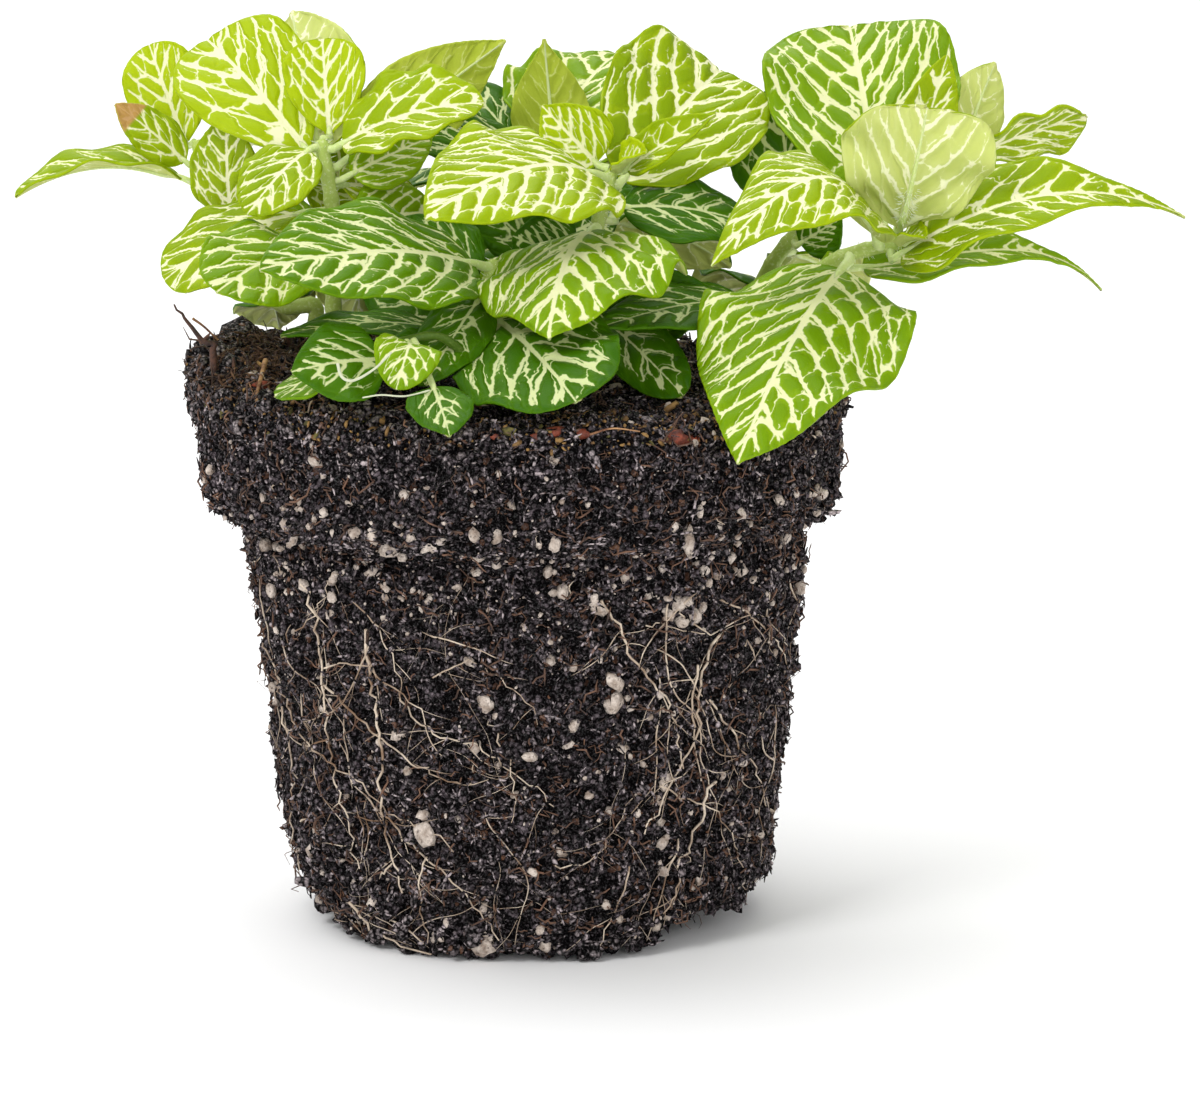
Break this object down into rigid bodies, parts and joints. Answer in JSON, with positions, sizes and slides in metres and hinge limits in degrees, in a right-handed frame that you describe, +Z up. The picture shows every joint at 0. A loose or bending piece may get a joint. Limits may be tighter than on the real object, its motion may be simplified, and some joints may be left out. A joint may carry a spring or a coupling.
{
  "type": "nerve plant with bare root ball",
  "caption": "Bushy low nerve plant with pale-veined oval leaves on soft stems, lifted out of its pot with a bare pot-shaped root ball that stands by itself.",
  "frame": {"origin": "centre of the root ball's flat foot, at the surface it stands on", "axes": "+Z up; +X along the plant's longest spread, to the right in the picture; +Y away from the picture's viewer"},
  "size_m": [0.2033, 0.1237, 0.1582],
  "materials": {
    "potting_soil": "damp black-brown peat mix with perlite and fine roots",
    "dry_twig": "dry bark",
    "stem": "soft pale green stem with fine hairs",
    "leaf_lime": "young lime leaf with cream veins",
    "leaf_mid": "grown green leaf with cream veins",
    "leaf_deep": "old deep green leaf with cream veins"
  },
  "bodies": {
    "root": {"root_ball": "potting_soil", "stem_left": "stem", "stem_far_left": "stem", "stem_front": "stem", "stem_creeping": "stem", "stem_centre": "stem", "stem_right": "stem", "stem_right_back": "stem", "stem_back": "stem", "stem_back_left": "stem", "twig": "dry_twig", "leaf_left_1": "leaf_lime", "leaf_left_2": "leaf_lime", "leaf_left_3": "leaf_lime", "leaf_left_4": "leaf_lime", "leaf_left_5": "leaf_lime", "leaf_left_6": "leaf_lime", "leaf_left_7": "leaf_lime", "leaf_left_8": "leaf_mid", "leaf_left_9": "leaf_mid", "leaf_far_left_1": "leaf_lime", "leaf_far_left_2": "leaf_lime", "leaf_far_left_3": "leaf_lime", "leaf_far_left_4": "leaf_mid", "leaf_front_1": "leaf_mid", "leaf_front_2": "leaf_deep", "leaf_front_3": "leaf_deep", "leaf_centre_1": "leaf_mid", "leaf_centre_2": "leaf_lime", "leaf_centre_3": "leaf_lime", "leaf_centre_4": "leaf_lime", "leaf_centre_5": "leaf_mid", "leaf_centre_6": "leaf_deep", "leaf_centre_7": "leaf_deep", "leaf_centre_8": "leaf_deep", "leaf_centre_9": "leaf_deep", "leaf_centre_10": "leaf_deep", "leaf_right_1": "leaf_mid", "leaf_right_2": "leaf_lime", "leaf_right_3": "leaf_mid", "leaf_right_4": "leaf_mid", "leaf_right_5": "leaf_lime", "leaf_right_6": "leaf_lime", "leaf_right_7": "leaf_deep", "leaf_right_8": "leaf_mid", "leaf_right_back_1": "leaf_lime", "leaf_right_back_2": "leaf_lime", "leaf_right_back_3": "leaf_deep", "leaf_right_back_4": "leaf_deep", "leaf_right_back_5": "leaf_mid", "leaf_back_1": "leaf_deep", "leaf_back_2": "leaf_deep", "leaf_back_3": "leaf_deep", "leaf_back_4": "leaf_mid", "leaf_back_left_1": "leaf_mid", "leaf_back_left_2": "leaf_deep", "leaf_creeping_1": "leaf_deep", "leaf_creeping_2": "leaf_lime", "leaf_creeping_3": "leaf_mid", "leaf_creeping_4": "leaf_deep"}
  },
  "joints": []
}
